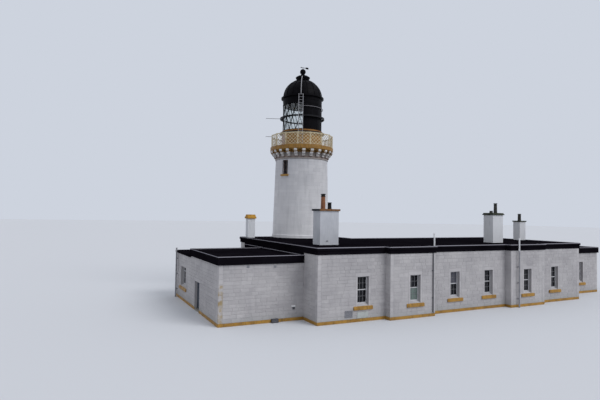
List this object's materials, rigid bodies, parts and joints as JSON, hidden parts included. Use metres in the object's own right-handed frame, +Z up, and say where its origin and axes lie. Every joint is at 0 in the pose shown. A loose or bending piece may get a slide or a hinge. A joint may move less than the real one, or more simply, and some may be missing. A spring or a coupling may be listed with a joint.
{
  "type": "lighthouse",
  "caption": "Round tapering lighthouse tower with corbelled gallery, lattice railing, glazed lantern and ribbed dome, joined to a long flat-roofed keepers' block with end wings.",
  "frame": {"origin": "the tower's axis at ground level, on the underside of the tower floor", "axes": "+X along the front of the keepers' block, +Y towards the back, +Z up"},
  "size_m": [36.5098, 16.8897, 20.3593],
  "materials": {
    "white_masonry": "matte",
    "ochre_stone": "matte",
    "floor_stone": "matte",
    "felt_roofing": "matte",
    "black_metal": "satin",
    "pale_metal": "satin",
    "glass": "gloss",
    "white_joinery": "satin",
    "painted_door": "satin",
    "terracotta": "matte"
  },
  "bodies": {
    "building": {"back_door_leaves": "painted_door", "back_wall": "white_masonry", "bay_front_walls": "white_masonry", "bay_side_walls": "white_masonry", "chimney_caps": "ochre_stone", "chimney_pots": "terracotta", "chimney_stacks": "white_masonry", "dome_rail": "pale_metal", "door_frame": "white_joinery", "downpipes": "pale_metal", "end_walls": "white_masonry", "front_walls": "white_masonry", "gallery_corbels": "white_masonry", "gallery_deck": "ochre_stone", "gallery_lattice": "pale_metal", "gallery_posts": "pale_metal", "lantern_base_wall": "ochre_stone", "lantern_blank_panels": "black_metal", "lantern_dome": "black_metal", "lantern_frame": "black_metal", "lantern_glass": "glass", "lantern_ladder": "pale_metal", "lantern_rails": "black_metal", "lantern_sill": "ochre_stone", "lantern_top_ring": "black_metal", "left_wing_door_head": "white_masonry", "left_wing_side_walls": "white_masonry", "link_back_walls": "white_masonry", "link_floor": "floor_stone", "link_side_wall": "white_masonry", "main_floor": "floor_stone", "main_kerb": "felt_roofing", "main_roof": "felt_roofing", "right_wing_side_walls": "white_masonry", "side_rods": "pale_metal", "tower_door_jambs": "white_masonry", "tower_floors": "floor_stone", "tower_roof": "felt_roofing", "tower_wall_back": "white_masonry", "tower_wall_front": "white_masonry", "tower_wall_left_back": "white_masonry", "tower_wall_left_front": "white_masonry", "tower_wall_right_back": "white_masonry", "tower_wall_right_front": "white_masonry", "tower_window_frame": "white_joinery", "tower_window_glass": "glass", "tower_window_sill": "ochre_stone", "ventilator": "black_metal", "window_frames": "white_joinery", "window_panes": "glass", "window_sills": "ochre_stone", "window_washes": "white_masonry", "wing_back_walls": "white_masonry", "wing_floors": "floor_stone", "wing_front_walls": "white_masonry", "wing_kerbs": "felt_roofing", "wing_low_roofs": "felt_roofing", "wing_roofs": "felt_roofing"},
    "side_door": {"left_wing_door": "painted_door"},
    "vane": {"wind_vane": "black_metal"}
  },
  "joints": [
    {"name": "side_door_hinge", "type": "hinge", "parent": "building", "child": "side_door", "pos_m": [-10.6917, -5.81, 0.11], "axis": [0, 0, 1], "range_deg": [0, 90]},
    {"name": "vane_spindle", "type": "hinge", "parent": "building", "child": "vane", "pos_m": [0, 0, 20.3], "axis": [0, 0, 1], "continuous": true}
  ]
}
